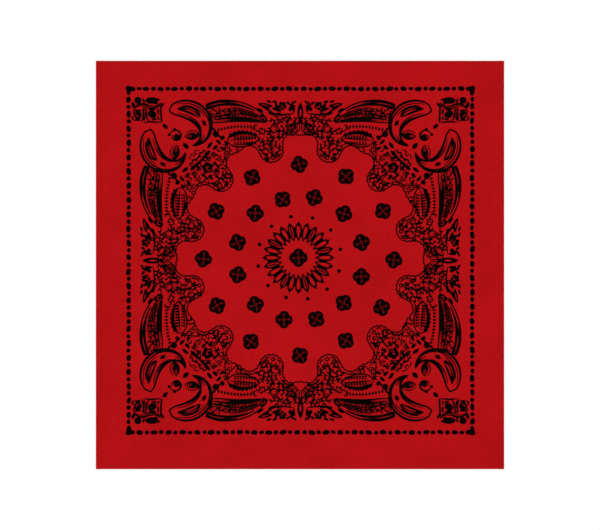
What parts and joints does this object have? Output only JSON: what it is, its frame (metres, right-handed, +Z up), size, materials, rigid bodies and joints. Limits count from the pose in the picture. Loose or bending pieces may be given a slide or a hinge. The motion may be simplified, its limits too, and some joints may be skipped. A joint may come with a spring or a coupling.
{
  "type": "bandana",
  "caption": "Square cotton bandana with turned hems and a black paisley and flower border print on red, laid out flat with its face up.",
  "frame": {"origin": "on the surface that the cloth lies on, under the middle of the square", "axes": "+Z up out of the printed face, +Y to the top hem and +X to the right-hand hem as the print is seen"},
  "size_m": [0.55, 0.55, 0.0022],
  "materials": {
    "printed_cotton": "matte",
    "hem_cotton": "matte",
    "hem_thread": "matte"
  },
  "bodies": {
    "root": {"panel": "printed_cotton", "hem_top": "hem_cotton", "hem_left": "hem_cotton", "hem_bottom": "hem_cotton", "hem_right": "hem_cotton"}
  },
  "joints": []
}
